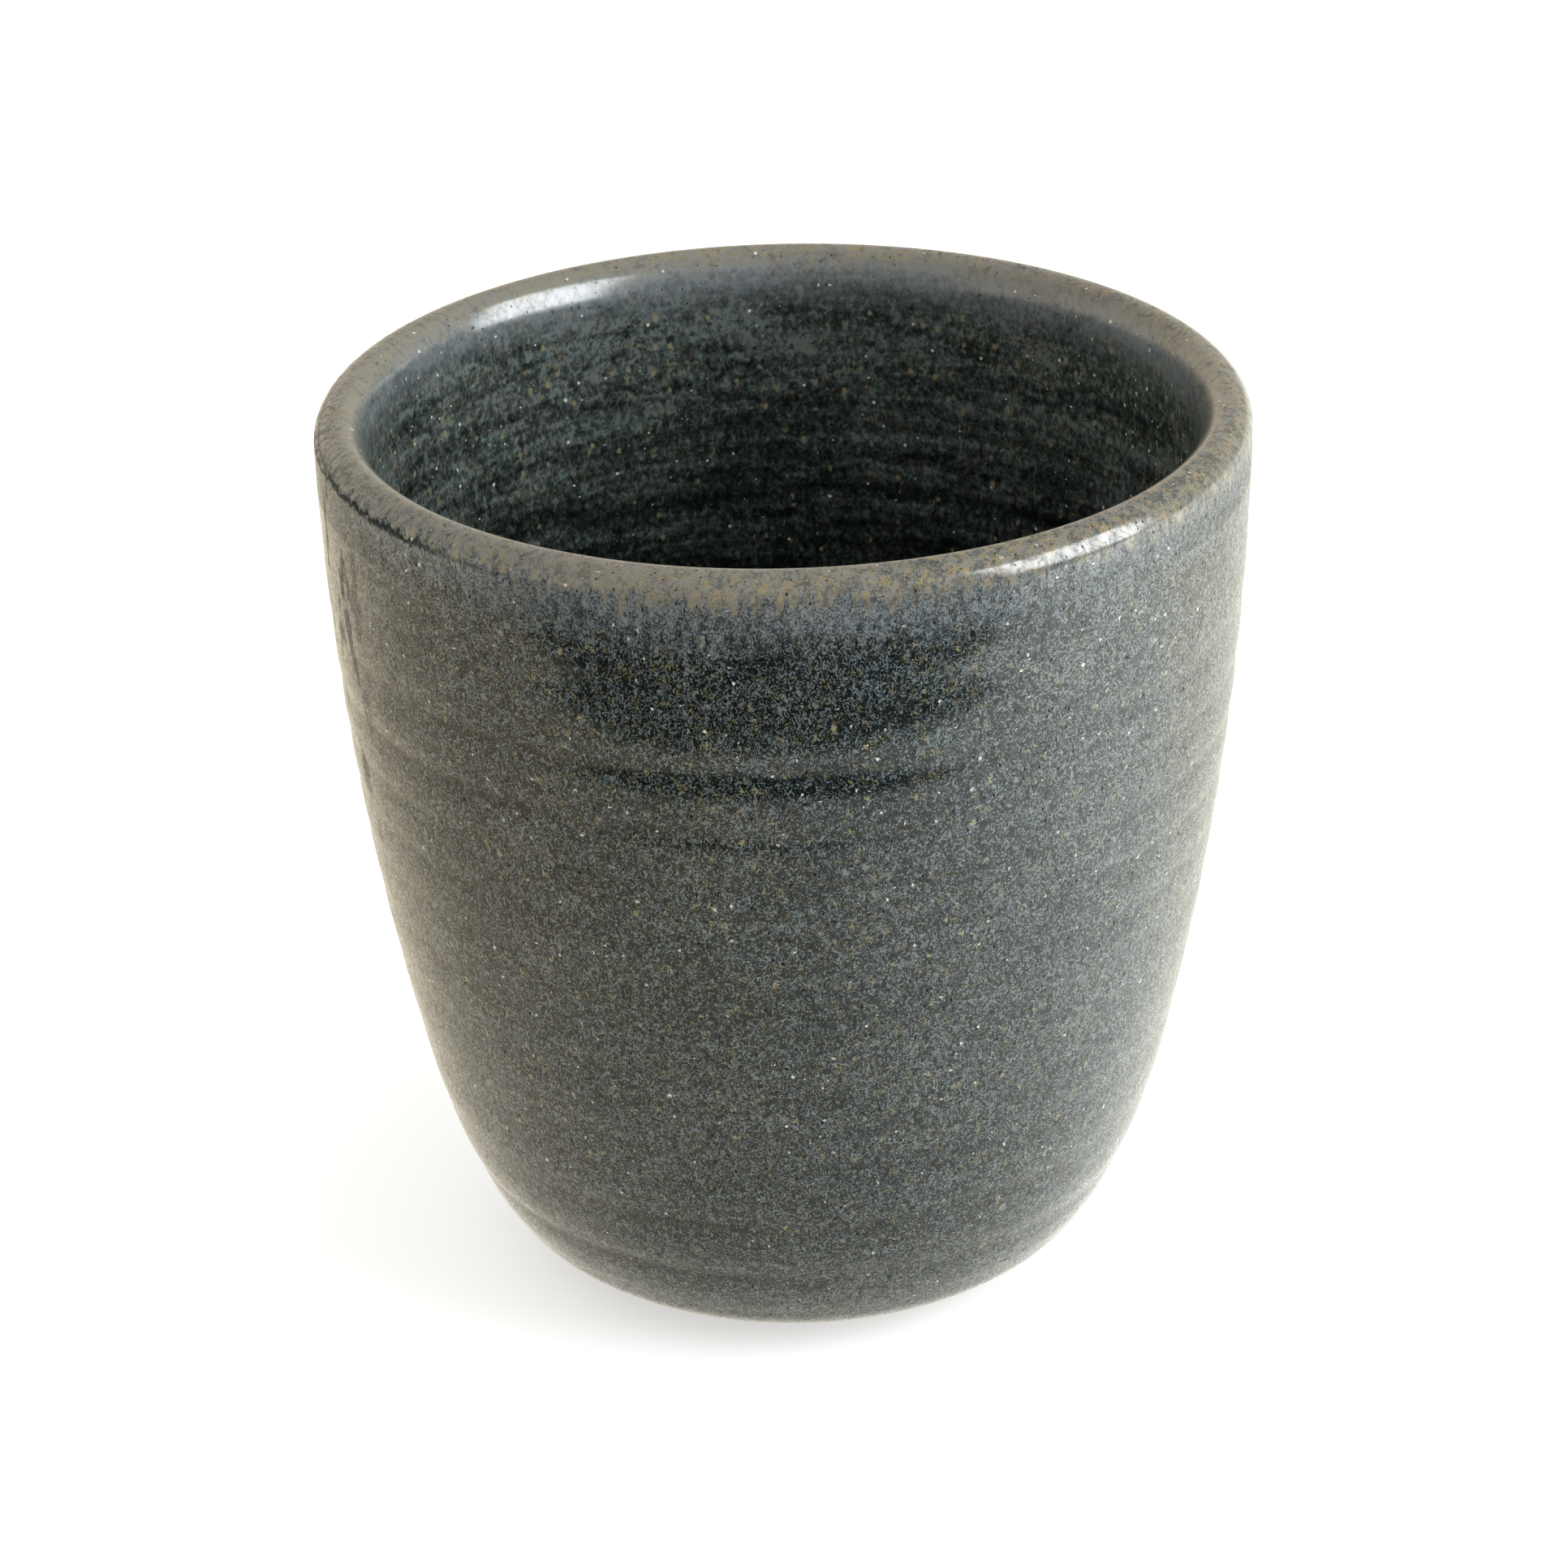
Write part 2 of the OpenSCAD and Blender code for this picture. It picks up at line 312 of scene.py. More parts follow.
class OutlineRows:
    """Rows of an outline, collected stretch by stretch and turned about Z into a mesh."""

    SHARP = math.radians(50)

    def __init__(self, sectors):
        """Starts with no rows, each of which will have a number of sectors round the axis."""
        self.turn = np.arange(sectors)[None, :] * TURN / sectors
        self.radius = []
        self.height = []
        self.groove = []

    def add(self, points, groove=0):
        """Adds a stretch of rows, given as radius and height that broadcast over the sectors."""
        radius, height = np.broadcast_arrays(*points, self.turn)[:2]
        self.radius.append(radius)
        self.height.append(height)
        self.groove.append(np.broadcast_to(groove, radius.shape))

    def mesh(self, name, poles):
        """Turns the rows about Z: a point lies at its radius along the cosine and sine of its sector. With
        poles, the first and last rows lie on the axis and shrink to one point each; without, the last row
        joins the first. Rows that run clockwise, seen with the axis on the left, face out."""
        radius = np.concatenate(self.radius)
        height = np.concatenate(self.height)
        groove = np.concatenate(self.groove).reshape(-1)
        rows, sectors = radius.shape
        points = np.stack([radius * np.cos(self.turn), radius * np.sin(self.turn), height], axis=-1)
        points = points.reshape(-1, 3)
        here = np.arange(rows * sectors).reshape(rows, sectors)
        if poles:
            single = np.ones(rows * sectors, bool)
            single[1:sectors] = False
            single[1 - sectors:] = False
            points = points[single]
            groove = groove[single]
            here = np.clip(here - sectors + 1, 0, len(points) - 1)
        below = np.roll(here, -1, axis=0)
        quads = np.stack([here, below, np.roll(below, -1, axis=1), np.roll(here, -1, axis=1)], axis=-1)
        if poles:
            first = quads[0][:, [0, 1, 2]].tolist()
            last = quads[-2][:, [0, 1, 3]].tolist()
            faces = first + quads[1:-2].reshape(-1, 4).tolist() + last
        else:
            faces = quads.reshape(-1, 4).tolist()
        mesh = bpy.data.meshes.new(name)
        mesh.from_pydata(points, [], faces)
        sunk = mesh.attributes.new("groove", "FLOAT", "POINT")
        sunk.data.foreach_set("value", groove.astype(np.float32))
        mesh.shade_smooth()
        mesh.set_sharp_from_angle(angle=self.SHARP)
        return mesh


def add_piece(context, mesh, node, material):
    """Puts a mesh into the scene as the piece that stands for a node of the frame."""
    mesh.materials.append(material)
    piece = bpy.data.objects.new(mesh.name, mesh)
    context.scene.collection.objects.link(piece)
    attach(piece, "root")
    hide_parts(node)


# Sectors round the axis, and rows along each stretch of an outline
CLAY_SECTORS = 256
GLAZE_SECTORS = 384
OUTER_ROWS = 190
LINER_ROWS = 200
HIDDEN_ROWS = 32
BACK_ROWS = 40
CLAY_LIP_ROWS = 13
LIP_ROWS = 41
LIP_IN_ROWS = 6
LIP_OUT_ROWS = 12
ROLL_ROWS = 8
HEEL_ROWS = 12
ROUND_ROWS = 9
TRIM_ROWS = 300

# Shape of the throwing rings: turns of their wander and lobes and turns of their waning from the lip to the
# end of the run, and how late relief dies away at both ends
WANDER_TURNS = 2
WANE_LOBES = 2
WANE_TURNS = 3
END_POWER = 16

# Waves of the glaze's lower edge round the cup, and the turn by which the first of them is shifted
EDGE_WAVES = (3, 7)
EDGE_SHIFT = 1


def dying_away(share):
    """Relief's share along a run, 0 at both ends: one less a high power of the way from its middle."""
    return 1 - np.abs(2 * share - 1) ** END_POWER


def throwing_rings(marks, share, turn, rings):
    """Relief of the throwing rings, from 0 on a ridge to 1 in a groove: a raised cosine squared along the
    run, strayed by a slow wave and wandering round the cup. It waxes and wanes round the cup, swells in bold
    groups along the run and dies away at both ends."""
    strayed = share - marks.stray * np.sin(TURN * marks.stray_waves * share)
    wander = marks.wander * np.sin(turn + TURN * WANDER_TURNS * share) * np.sin(math.pi * share)
    groove = ((1 - np.cos(TURN * rings * (strayed + wander))) / 2) ** 2
    waning = 1 - marks.fading / 2 * (1 + np.sin(WANE_LOBES * turn + TURN * WANE_TURNS * share))
    group = np.cos(TURN * (share - marks.bold) / marks.bold_step)
    return groove * waning * (1 - marks.bold_swing * (1 - group)) * dying_away(share)


class Socket:
    """A value in a node tree: wraps an output socket, and sums on it add Math nodes."""

    def __init__(self, nodes, socket):
        """Takes the tree's Nodes and the output socket."""
        self.nodes = nodes
        self.socket = socket

    def output(self, name):
        """Another output of the same node."""
        return Socket(self.nodes, self.socket.node.outputs[name])

    def math(self, operation, *values):
        """Result of a Math node's operation on one or two values."""
        return self.nodes.add("ShaderNodeMath", {"operation": operation}, dict(enumerate(values)))

    def __add__(self, other):
        """This value plus another."""
        return self.math("ADD", self, other)

    def __radd__(self, other):
        """A number plus this value."""
        return self.math("ADD", other, self)

    def __sub__(self, other):
        """This value less another."""
        return self.math("SUBTRACT", self, other)

    def __rsub__(self, other):
        """A number less this value."""
        return self.math("SUBTRACT", other, self)

    def __mul__(self, other):
        """This value times another."""
        return self.math("MULTIPLY", self, other)

    def __rmul__(self, other):
        """A number times this value."""
        return self.math("MULTIPLY", other, self)

    def __truediv__(self, other):
        """This value over another."""
        return self.math("DIVIDE", self, other)

    def __pow__(self, power):
        """This value, which is not below 0, to a power."""
        return self.math("POWER", self, power)

    def __abs__(self):
        """This value without its sign."""
        return self.math("ABSOLUTE", self)

    def most(self, other):
        """The larger of two values."""
        return self.math("MAXIMUM", self, other)

    def least(self, other):
        """The smaller of two values."""
        return self.math("MINIMUM", self, other)

    def sway(self, share):
        """How far a value between 0 and 1 lies off its middle, times a share."""
        return (self - MIDDLE) * share

    def toward(self, other, share):
        """Value between this one and another, by a share of the other."""
        return self + (other - self) * share


class Swells(NamedTuple):
    """A noise: its swells per millimetre, its detail, roughness and swirl, how much it is packed along each
    axis, and its shift."""

    per_mm: float
    detail: float = 2.0
    roughness: float = 0.5
    swirl: float = 0.0
    packed: tuple = (1, 1, 1)
    shift: tuple = (0, 0, 0)


class Grains(NamedTuple):
    """Scattered grains: their number per millimetre, their packing along each axis and their shift."""

    per_mm: float
    packed: tuple = (1, 1, 1)
    shift: tuple = (0, 0, 0)


class Nodes:
    """Node tree of a material or of the world."""

    def __init__(self, owner):
        """Starts an empty tree in a material or world."""
        owner.use_nodes = True
        self.tree = owner.node_tree
        self.tree.nodes.clear()

    def add(self, kind, settings=None, sockets=None, output=0):
        """Adds a node with its settings, then values or links for its sockets, and gives one output."""
        node = self.tree.nodes.new(kind)
        for name, value in (settings or {}).items():
            setattr(node, name, value)
        for key, value in (sockets or {}).items():
            if isinstance(value, Socket):
                self.tree.links.new(value.socket, node.inputs[key])
            else:
                node.inputs[key].default_value = value
        return Socket(self, node.outputs[output]) if len(node.outputs) else node

    def place(self):
        """Place on the object, in millimetres."""
        spot = self.add("ShaderNodeTexCoord", output="Object")
        return self.add("ShaderNodeVectorMath", {"operation": "SCALE"}, {"Vector": spot, "Scale": 1 / MM})

    def stretch(self, place, shares, shift=(0, 0, 0)):
        """Place multiplied and shifted along each axis, so that a pattern is drawn out or moved."""
        sockets = {0: place, 1: shares, 2: shift}
        return self.add("ShaderNodeVectorMath", {"operation": "MULTIPLY_ADD"}, sockets)

    def reach(self, vector):
        """Length of a vector."""
        return self.add("ShaderNodeVectorMath", {"operation": "LENGTH"}, {0: vector}, "Value")

    def part_along(self, vector, way):
        """How far a vector goes along a way of length one."""
        return self.add("ShaderNodeVectorMath", {"operation": "DOT_PRODUCT"}, {0: vector, 1: way}, "Value")

    def noise(self, place, swells):
        """Soft noise about 0.5."""
        return self.add("ShaderNodeTexNoise", None, {
            "Vector": self.stretch(place, swells.packed, swells.shift),
            "Scale": swells.per_mm,
            "Detail": swells.detail,
            "Roughness": swells.roughness,
            "Distortion": swells.swirl,
        })

    def grains(self, place, grains):
        """Distance to the nearest of scattered grains, in grain spacings; its Color is random by grain."""
        spot = self.stretch(place, grains.packed, grains.shift)
        return self.add("ShaderNodeTexVoronoi", None, {"Vector": spot, "Scale": grains.per_mm}, "Distance")

    def step(self, value, bounds, first, last):
        """Smooth step from a first value below the bounds to a last one above them."""
        return self.add("ShaderNodeMapRange", {"interpolation_type": "SMOOTHSTEP"}, {
            "Value": value, "From Min": bounds[0], "From Max": bounds[1], "To Min": first, "To Max": last})

    def rise(self, value, bounds):
        """Smooth step from 0 below the bounds to 1 above them."""
        return self.step(value, bounds, 0.0, 1.0)

    def fall(self, value, bounds):
        """Smooth step from 1 below the bounds to 0 above them."""
        return self.step(value, bounds, 1.0, 0.0)

    def clamp(self, value):
        """Value held between 0 and 1."""
        return self.add("ShaderNodeClamp", None, {"Value": value})

    def mix(self, share, first, second):
        """Colour between two, by a share of the second."""
        return self.add("ShaderNodeMix", {"data_type": "RGBA"}, {
            0: share, 6: self.opaque(first), 7: self.opaque(second)}, output=2)

    @staticmethod
    def opaque(shade):
        """A colour that a socket takes: a link as it is, or three numbers with full opacity."""
        return shade if isinstance(shade, Socket) else (*shade, 1.0)

    def channel(self, vector, axis):
        """One part of a vector or colour."""
        return self.add("ShaderNodeSeparateXYZ", None, {0: vector}, axis)

    def bump(self, height, distance):
        """Surface direction tilted by a height field whose full swing is a distance."""
        return self.add("ShaderNodeBump", None, {"Height": height, "Distance": distance, "Strength": 1.0})

    def surface(self, settings):
        """Ends the tree in a plain surface shader with these values and links."""
        shader = self.add("ShaderNodeBsdfPrincipled", None, settings)
        self.add("ShaderNodeOutputMaterial", None, {"Surface": shader})


# Noises in the crystals. Streaks and bands are drawn out round the cup, clumps and curls a little upright
UPRIGHT = (1, 1, 0.8)
ROUND_CUP = (0.12, 0.12, 1)
CLOUD = Swells(0.12)
CLUMP = Swells(1.5, roughness=0.6, packed=UPRIGHT, shift=(7, 43, 11))
STREAK = Swells(1.1, roughness=0.6, packed=ROUND_CUP, shift=(2, 31, 9))
BAND = Swells(0.35, packed=ROUND_CUP, shift=(5, 2, 61))
FLUSH = Swells(1.3, detail=1.0, shift=(3, 59, 23))
OUTER_CURLS = Swells(1.8, detail=0.0, swirl=1.3, packed=UPRIGHT)
LINER_CURLS = OUTER_CURLS._replace(per_mm=1.5)

# The second layer of curls, against the first: swells, threads and shift
SECOND_SWELLS = 1.25
SECOND_THREADS = 0.8
SECOND_SHIFT = (31, 17, 5)

# Share of crystals: its sway by clumps and clouds, the lines that thin glaze leaves in the grooves, the
# heights over which crystals thin out deep inside the cup as painted shade, and the power by which crystals
# show their colour
CLUMP_SWAY = 0.95
CLOUD_SWAY = 0.35
LINE_STREAK = 1.2
LINE_CLUMP = 0.6
LINE_STEP = (0.62, 1.12)
LINE_LOSS = 0.45
DEPTH_SHADE_STEP = (30.0, 76.0)
CRYSTAL_POWER = 3.0

# Warm places, and the ochre clusters in them
WARM_CLOUD = 0.5
WARM_STEP = (0.36, 0.62)
IRON_CLUMP = 0.3
IRON_LINE = 0.1
IRON_STEP = (0.57, 0.68)


class Pattern(NamedTuple):
    """What sets one glaze's crystals apart: the colours of its ground and crystals, its curls and the
    threads in each of their swells, how far the threads stand out, the share of crystals at the lip and how
    much of it is lost low down as painted shade, and the strength of its streaks, bands and ochre clusters."""

    ground: tuple
    crystal: tuple
    curls: Swells
    threads: float
    contrast: float
    level: float
    pool: float
    streaks: float
    bands: float
    iron: float


class Gloss(NamedTuple):
    """Gloss of a glaze: its share outside the cup below the brown, its roughness and its refraction."""

    share: float
    roughness: float
    ior: float


OUTER_GLOSS = Gloss(1.0, 0.13, 1.55)
LIP_GLOSS = Gloss(0.5, 0.19, 1.95)
LINER_GLOSS = Gloss(1.0, 0.2, 1.5)


def outer_pattern(colours):
    """Fine, sharp threads of the grey glaze outside."""
    return Pattern(colours.ground, colours.crystal, OUTER_CURLS, threads=3.6, contrast=1.6, level=0.465,
                   pool=0.0, streaks=0.4, bands=0.3, iron=0.8)


def liner_pattern(colours):
    """Soft, broad curls of the dark glaze inside, fewer towards the floor: painted shade deep in the cup."""
    return Pattern(colours.liner_ground, colours.liner_crystal, LINER_CURLS, threads=1.2, contrast=0.48,
                   level=0.82, pool=0.5, streaks=0.8, bands=0.6, iron=0.5)


def curls(nodes, place, swells, threads):
    """Curly threads, light and dark: a sine wave over the level of a swirled noise, between 0 and 1."""
    level = nodes.noise(place, swells)
    wave = level.math("SINE", level * (TURN * threads))
    return wave * MIDDLE + MIDDLE


def crystal_layer(nodes, place, colours, pattern):
    """Share of crystals and colour of a glaze: two layers of curly threads on a dark ground, in clumps,
    streaks and bands, thinner in the throwing rings, with warm places and ochre clusters."""
    groove = nodes.add("ShaderNodeAttribute", {"attribute_name": "groove"}, output="Fac")
    cloud = nodes.noise(place, CLOUD)
    clump = nodes.noise(place, CLUMP)
    streak = nodes.noise(place, STREAK)
    band = nodes.noise(place, BAND)
    flush = nodes.noise(place, FLUSH)
    first = curls(nodes, place, pattern.curls, pattern.threads)
    finer = pattern.curls._replace(per_mm=SECOND_SWELLS * pattern.curls.per_mm, shift=SECOND_SHIFT)
    second = curls(nodes, place, finer, SECOND_THREADS * pattern.threads)

    line = nodes.rise(groove + streak.sway(LINE_STREAK) + clump.sway(LINE_CLUMP), LINE_STEP)
    # Painted shade: fewer crystals, so darker glaze, low down inside the cup.
    pool = nodes.fall(nodes.channel(place, "Z"), DEPTH_SHADE_STEP) * pattern.pool
    drift = clump.sway(CLUMP_SWAY) + cloud.sway(CLOUD_SWAY) - line * LINE_LOSS - pool
    drift = drift + streak.sway(pattern.streaks) + band.sway(pattern.bands)
    both = (first + second) / 2
    crystals = nodes.clamp(both.sway(pattern.contrast) + drift + pattern.level)

    warm = nodes.rise(flush + cloud.sway(WARM_CLOUD), WARM_STEP)
    iron = nodes.rise(flush + clump.sway(IRON_CLUMP) + line * IRON_LINE, IRON_STEP)
    base = nodes.mix(warm, pattern.ground, colours.ground_warm)
    light = nodes.mix(warm, pattern.crystal, colours.crystal_warm)
    light = nodes.mix(iron * pattern.iron, light, colours.ochre)
    return crystals, nodes.mix(crystals ** CRYSTAL_POWER, base, light)


# Where the inside of the lip begins, as a radius past its crown
WITHIN_STEP = (-1.0, 0.5)

# Single ochre dots: their grains, which of them show, how crystals widen them, their edge and strength
DOTS = Grains(0.8, packed=UPRIGHT, shift=(19, 2, 37))
DOT_CHOICE = (0.3, 0.9)
DOT_CRYSTALS = 0.2
DOT_EDGE = (0.08, 0.22)
DOT_STRENGTH = 0.8

# White specks and dark pits: their grains, which specks show, their sizes, edges and strength
SPECKS = Grains(0.72, shift=(5, 29, 3))
SPECK_CHOICE = (0.25, 0.3)
SPECK_SIZE = 0.07
SPECK_CRYSTALS = 0.1
SPECK_EDGE = (0.08, 0.12)
SPECK_STRENGTH = 0.85
PITS = Grains(1.4, packed=(1, 1, 0.6), shift=(47, 1, 13))
PIT_CRYSTALS = 0.05
PIT_EDGE = (0.08, 0.15)
PIT_STRENGTH = 0.9

# Noises over the lip: fur along its edge, blotches and flecks in the thin glaze
FUR = Swells(1.6, packed=(1, 1, 0.25), shift=(13, 5, 71))
BLOTCH = Swells(1.0, swirl=0.8, shift=(61, 7, 19))
FLECK = Swells(1.5, detail=1.0, swirl=1.0, shift=(11, 83, 2))

# The fur's reach outside and inside, how much higher the brown stops inside and on the left, and where
# the left begins
FUR_OUT = 7.0
FUR_IN = 3.5
INSIDE_LIFT = 0.9
LEFT_LIFT = 1.3
LEFT_STEP = (-36.0, -6.0)

# Heights past the shoulder over which the pale band, the brown and the crest come in, and how strongly
PALE_STEP = (-5.2, -0.6)
BROWN_STEP = (-0.9, 1.0)
CREST_STEP = (0.2, 2.0)
PALE_BASE = 0.2
PALE_CRYSTALS = 0.55
BROWN_STRENGTH = 0.92

# Mottling of the brown: patchier on the right, with ochre flecks and dark strokes along the crest
PATCHY_STEP = (-30.0, 15.0)
MOTTLE_CRYSTALS = 0.3
MOTTLE_EVEN = 0.12
MOTTLE_STEP = (0.35, 0.65)
FLECK_STEP = (0.5, 0.6)
FLECK_BASE = 0.2
FLECK_CREST = 0.6
FLECK_LEFT = 0.3
STROKE_STEP = (0.36, 0.46)
STROKE_BASE = 0.1
STROKE_CREST = 0.7

# Painted dark reflection under the left side of the lip, drawn as a dark line: its height past the shoulder,
# waver, edge, reach and strength
DARK_REFLECTION_HEIGHT = 0.5
DARK_REFLECTION_FUR = 1.2
DARK_REFLECTION_BLOTCH = 0.8
DARK_REFLECTION_EDGE = (0.12, 0.36)
DARK_REFLECTION_STEP = (-31.0, -25.0)
DARK_REFLECTION_STRENGTH = 0.8

# Scuffs that dull the gloss down the left side, and wrinkles that break it over the lip
SMEAR = Swells(0.4, roughness=0.6, packed=(1, 1, 0.4), shift=(29, 67, 3))
SCUFF_STEP = (0.54, 0.62)
SCUFF_SIDE = (-37.5, -33.5)
SCUFF_STRENGTH = 0.9
WRINKLES = Swells(0.8, detail=0.0, swirl=1.3, shift=(17, 3, 41))
WRINKLE_THREADS = 2.0
WRINKLE_STEP = (0.75, 0.95)
WRINKLE_LOSS = 0.45

# Gloss on bare ground and on the lip below its crest, with full gloss on crystals and crest
GROUND_GLOSS = 0.6
GLOSS_STEP = (0.05, 0.95)
LIP_POLISH = 0.7

# The glaze's own surface under its gloss: roughness, refraction, strength of reflection and relief
GROUND_ROUGH = 0.36
CRYSTAL_ROUGH = 0.24
LIP_ROUGH = 0.16
GLAZE_IOR = 1.5
GLAZE_SPECULAR = 0.06
CRYSTAL_RELIEF = 0.8
LIP_RELIEF = 0.12
SPECK_RELIEF = 0.5
GLAZE_BUMP = 0.02 * MM


class LipFields(NamedTuple):
    """Where a glaze lies at the lip, each from 0 to 1: inside it, in the pale band, on the brown, on its
    crest and under the dark line on its left, which is a painted dark reflection."""

    within: Socket
    pale: Socket
    brown: Socket
    crest: Socket
    seam: Socket


def lip_fields(nodes, place, sizes, blotch):
    """Fields of the lip, by height past the shoulder, with a furry edge: on the left the brown stops higher
    and a dark line runs under it, a painted dark reflection."""
    across = nodes.channel(place, "X")
    past = nodes.channel(place, "Z") - (sizes.cup_h - sizes.wall / 2) / MM
    crown = (sizes.rim_r - sizes.wall / 2) / MM
    within = nodes.fall(nodes.reach(nodes.stretch(place, (1, 1, 0))) - crown, WITHIN_STEP)
    fur = nodes.noise(place, FUR)
    left = nodes.fall(across, LEFT_STEP) * (1.0 - within)
    furred = past + fur.sway(FUR_OUT + within * (FUR_IN - FUR_OUT))
    frayed = furred - within * INSIDE_LIFT - left * LEFT_LIFT
    # Painted dark reflection: a dark line under the left of the lip.
    wavered = past + fur.sway(DARK_REFLECTION_FUR) + blotch.sway(DARK_REFLECTION_BLOTCH)
    seam = nodes.fall(abs(wavered - DARK_REFLECTION_HEIGHT), DARK_REFLECTION_EDGE) * nodes.fall(across, DARK_REFLECTION_STEP)
    return LipFields(
        within=within,
        pale=nodes.rise(frayed, PALE_STEP),
        brown=nodes.rise(frayed, BROWN_STEP),
        crest=nodes.rise(frayed, CREST_STEP),
        seam=seam * (1.0 - within),
    )


def lip_skin(nodes, place, colours, crystals, blotch, crest):
    """Colour of the thin brown glaze over the lip: mottled, with ochre flecks and dark strokes along its
    crest, most of them on the right."""
    patchy = nodes.rise(nodes.channel(place, "X"), PATCHY_STEP)
    curdled = blotch + crystals.sway(MOTTLE_CRYSTALS)
    mottled = nodes.rise(curdled + (1.0 - patchy) * MOTTLE_EVEN, MOTTLE_STEP)
    thin = nodes.mix(mottled, colours.lip, colours.lip_light)
    spread = crest * (FLECK_LEFT + (1.0 - FLECK_LEFT) * patchy)
    flecks = nodes.rise(nodes.noise(place, FLECK), FLECK_STEP) * (FLECK_BASE + FLECK_CREST * spread)
    thin = nodes.mix(flecks, thin, colours.lip_ochre)
    strokes = nodes.fall(curdled, STROKE_STEP) * (STROKE_BASE + STROKE_CREST * crest * patchy)
    return nodes.mix(strokes, thin, colours.lip_stroke)


def ochre_dots(nodes, place, crystals):
    """Share of the single ochre dots, wider on crystals."""
    grains = nodes.grains(place, DOTS)
    chosen = nodes.rise(nodes.channel(grains.output("Color"), "X"), DOT_CHOICE)
    return nodes.fall(grains - crystals.sway(DOT_CRYSTALS), DOT_EDGE) * chosen


def white_specks(nodes, place, crystals):
    """Share of the white specks, of random size and wider on crystals."""
    grains = nodes.grains(place, SPECKS)
    chosen = nodes.rise(nodes.channel(grains.output("Color"), "Y"), SPECK_CHOICE)
    small = nodes.channel(grains.output("Color"), "Z") * SPECK_SIZE
    return nodes.fall(grains - crystals.sway(SPECK_CRYSTALS) + small, SPECK_EDGE) * chosen


def dark_pits(nodes, place, crystals):
    """Share of the dark pits, narrower on crystals."""
    return nodes.fall(nodes.grains(place, PITS) + crystals.sway(PIT_CRYSTALS), PIT_EDGE)


def glaze_sheen(nodes, place, crystals, lip, gloss):
    """Strength of the gloss: full on crystals and less on the ground, times the glaze's share outside the
    cup. It is polished but wrinkled on the brown, and dulled under the painted dark reflection and by scuffs
    on the left."""
    spread = gloss.share + (1.0 - gloss.share) * lip.within
    satin = (GROUND_GLOSS + (1.0 - GROUND_GLOSS) * nodes.rise(crystals, GLOSS_STEP)) * spread
    wrinkle = nodes.rise(curls(nodes, place, WRINKLES, WRINKLE_THREADS), WRINKLE_STEP)
    polish = (LIP_POLISH + (1.0 - LIP_POLISH) * lip.crest) * (1.0 - wrinkle * WRINKLE_LOSS)
    smear = nodes.rise(nodes.noise(place, SMEAR), SCUFF_STEP)
    scuff = smear * nodes.fall(nodes.channel(place, "X"), SCUFF_SIDE)
    return satin.toward(polish, lip.brown) * (1.0 - lip.seam) * (1.0 - scuff * SCUFF_STRENGTH)


def glaze_material(name, colours, sizes, outer, inner, gloss):
    """Satin crystal glaze: one pattern of crystals outside and one inside, ochre dots, white specks and
    pits, thin and brown over the lip, with a pale furry band below it and a painted dark reflection, a dark
    line, on its left."""
    material = bpy.data.materials.new(name)
    nodes = Nodes(material)
    place = nodes.place()
    blotch = nodes.noise(place, BLOTCH)
    lip = lip_fields(nodes, place, sizes, blotch)
    crystals, skin = crystal_layer(nodes, place, colours, outer)
    if inner != outer:
        inner_crystals, inner_skin = crystal_layer(nodes, place, colours, inner)
        crystals = crystals.toward(inner_crystals, lip.within)
        skin = nodes.mix(lip.within, skin, inner_skin)
    speck = white_specks(nodes, place, crystals)
    pit = dark_pits(nodes, place, crystals)

    skin = nodes.mix(ochre_dots(nodes, place, crystals) * DOT_STRENGTH, skin, colours.dots)
    skin = nodes.mix(lip.pale * (PALE_BASE + PALE_CRYSTALS * crystals), skin, colours.lip_pale)
    thin = lip_skin(nodes, place, colours, crystals, blotch, lip.crest)
    skin = nodes.mix(lip.brown * BROWN_STRENGTH, skin, thin)
    # Painted dark reflection: ground colour along the dark line under the left of the lip.
    skin = nodes.mix(lip.seam * DARK_REFLECTION_STRENGTH, skin, colours.ground)
    skin = nodes.mix(speck * SPECK_STRENGTH, skin, colours.speck)
    skin = nodes.mix(pit * PIT_STRENGTH, skin, colours.pit)

    rough = GROUND_ROUGH + (CRYSTAL_ROUGH - GROUND_ROUGH) * crystals
    raised = CRYSTAL_RELIEF + (LIP_RELIEF - CRYSTAL_RELIEF) * lip.brown
    relief = crystals * raised - pit + speck * SPECK_RELIEF
    nodes.surface({
        "Base Color": skin,
        "Roughness": rough + (LIP_ROUGH - rough) * lip.brown,
        "IOR": GLAZE_IOR,
        "Specular IOR Level": GLAZE_SPECULAR,
        "Coat Weight": glaze_sheen(nodes, place, crystals, lip, gloss) * (1.0 - pit),
        "Coat Roughness": gloss.roughness,
        "Coat IOR": gloss.ior,
        "Normal": nodes.bump(relief, GLAZE_BUMP),
    })
    return material


# Bare clay: clouds of flashing, sand and grog, the toasted edge by height, roughness and relief
CLAY_CLOUD = Swells(0.15, detail=4.0)
SAND = Swells(3.0)
GROG = Grains(0.8)
FLASH_STEP = (0.35, 0.7)
FLASH_STRENGTH = 0.35
TOAST_SWAY = 6.0
TOAST_STEP = (0.6, 2.6)
TOAST_STRENGTH = 0.65
SAND_STEP = (0.45, 0.75)
SAND_STRENGTH = 0.35
GROG_SAND = 0.1
GROG_EDGE = (0.12, 0.2)
GROG_STRENGTH = 0.8
CLAY_ROUGH = 0.78
SAND_ROUGH = 0.15
SAND_RELIEF = 0.8
GROG_RELIEF = 0.6
CLAY_BUMP = 0.03 * MM
CLAY_IOR = 1.45


